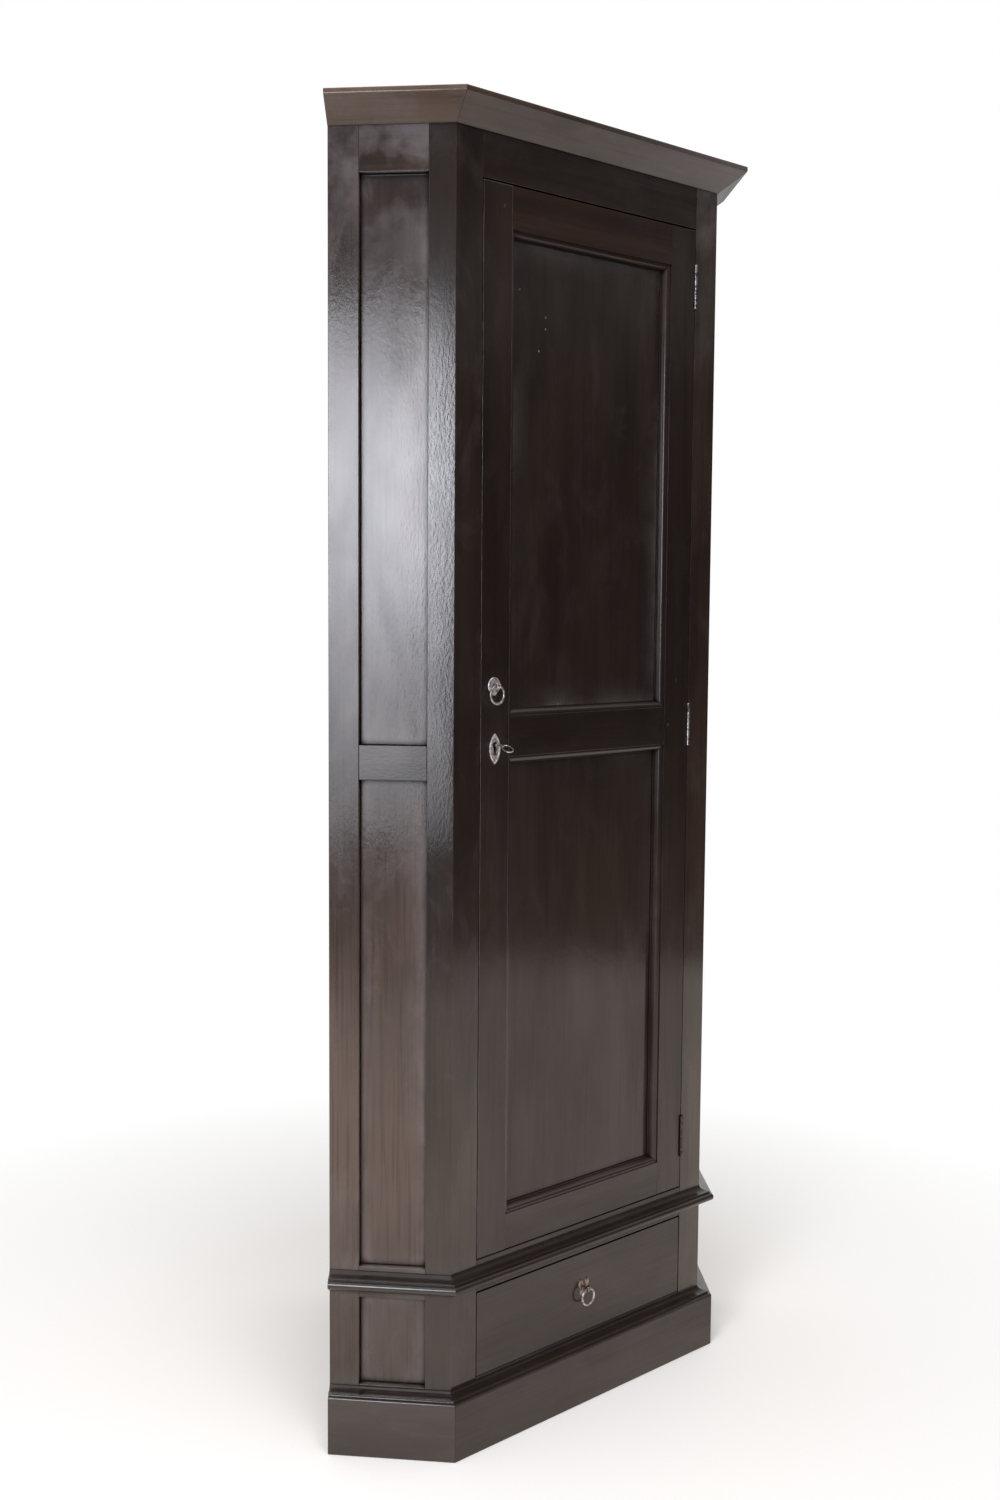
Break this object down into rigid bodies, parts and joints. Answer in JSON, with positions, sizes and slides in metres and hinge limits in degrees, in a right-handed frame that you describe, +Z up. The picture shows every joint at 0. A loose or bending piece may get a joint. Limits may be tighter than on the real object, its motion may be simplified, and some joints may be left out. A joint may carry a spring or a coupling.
{
  "type": "corner cupboard",
  "caption": "Tall canted corner cupboard in dark polished wood with a panelled door, canted panelled returns, a drawer below, cornice, waist moulding and plinth",
  "frame": {"origin": "middle of the footprint's bounding box, on the floor", "axes": "X to the right as seen from the front, Y from the front to the room's corner, Z up"},
  "size_m": [0.88, 0.5954, 2],
  "materials": {
    "polished_wood": "near-black brown stained wood under a satin polish",
    "plain_wood": "plain brown wood, dry and unpolished",
    "pull_metal": "worn silvery metal browned in the hollows",
    "hinge_iron": "darkened iron",
    "lock_steel": "dull steel"
  },
  "bodies": {
    "carcass": {"left_corner_post": "polished_wood", "right_corner_post": "polished_wood", "base_rail": "polished_wood", "waist_rail": "polished_wood", "frieze_rail": "polished_wood", "left_rear_stile": "polished_wood", "left_return_base_rail": "polished_wood", "left_return_waist_rail": "polished_wood", "left_return_middle_rail": "polished_wood", "left_return_top_rail": "polished_wood", "left_return_panel": "polished_wood", "right_rear_stile": "polished_wood", "right_return_base_rail": "polished_wood", "right_return_waist_rail": "polished_wood", "right_return_middle_rail": "polished_wood", "right_return_top_rail": "polished_wood", "right_return_panel": "polished_wood", "left_back_board": "plain_wood", "right_back_board": "plain_wood", "drawer_floor": "plain_wood", "cupboard_floor": "plain_wood", "lower_shelf": "plain_wood", "middle_shelf": "plain_wood", "upper_shelf": "plain_wood", "top_board": "plain_wood", "front_cornice": "polished_wood", "left_cornice": "polished_wood", "right_cornice": "polished_wood", "front_waist_moulding": "polished_wood", "left_waist_moulding": "polished_wood", "right_waist_moulding": "polished_wood", "front_plinth": "polished_wood", "left_plinth": "polished_wood", "right_plinth": "polished_wood", "top_hinge_frame_leaf": "hinge_iron", "middle_hinge_frame_leaf": "hinge_iron", "bottom_hinge_frame_leaf": "hinge_iron"},
    "door": {"door_lock_stile": "polished_wood", "door_hinge_stile": "polished_wood", "door_bottom_rail": "polished_wood", "door_middle_rail": "polished_wood", "door_top_rail": "polished_wood", "door_upper_panel": "polished_wood", "door_lower_panel": "polished_wood", "top_hinge_door_leaf": "hinge_iron", "middle_hinge_door_leaf": "hinge_iron", "bottom_hinge_door_leaf": "hinge_iron", "escutcheon": "pull_metal", "lock_case": "lock_steel", "door_pull_rose": "pull_metal"},
    "door_ring": {"door_pull_ring": "pull_metal"},
    "key": {"key": "pull_metal"},
    "lock_bolt": {"lock_bolt": "lock_steel"},
    "drawer": {"drawer_front": "polished_wood", "drawer_left_side": "plain_wood", "drawer_right_side": "plain_wood", "drawer_back": "plain_wood", "drawer_bottom": "plain_wood", "drawer_pull_rose": "pull_metal"},
    "drawer_ring": {"drawer_pull_ring": "pull_metal"}
  },
  "joints": [
    {"name": "door_swing", "type": "hinge", "parent": "carcass", "child": "door", "pos_m": [0.23585, -0.25373, 1.086], "axis": [0, 0, 1], "range_deg": [0, 150]},
    {"name": "door_ring_swing", "type": "hinge", "parent": "door", "child": "door_ring", "pos_m": [-0.20825, -0.25973, 1.164], "axis": [-1, 0, 0], "range_deg": [-8, 165]},
    {"name": "key_turn", "type": "hinge", "parent": "door", "child": "key", "pos_m": [-0.20625, -0.25213, 1.075], "axis": [0, -1, 0], "range_deg": [0, 270]},
    {"name": "lock_bolt_slide", "type": "slide", "parent": "door", "child": "lock_bolt", "axis": [-1, 0, 0], "range_m": [0, 0.01]},
    {"name": "drawer_slide", "type": "slide", "parent": "carcass", "child": "drawer", "axis": [0, -1, 0], "range_m": [0, 0.2]},
    {"name": "drawer_ring_swing", "type": "hinge", "parent": "drawer", "child": "drawer_ring", "pos_m": [0, -0.26264, 0.181], "axis": [-1, 0, 0], "range_deg": [-12, 160]}
  ],
  "couplings": [
    {"joint": "lock_bolt_slide", "follows": "key_turn", "m_per_rad": 0.002122}
  ]
}
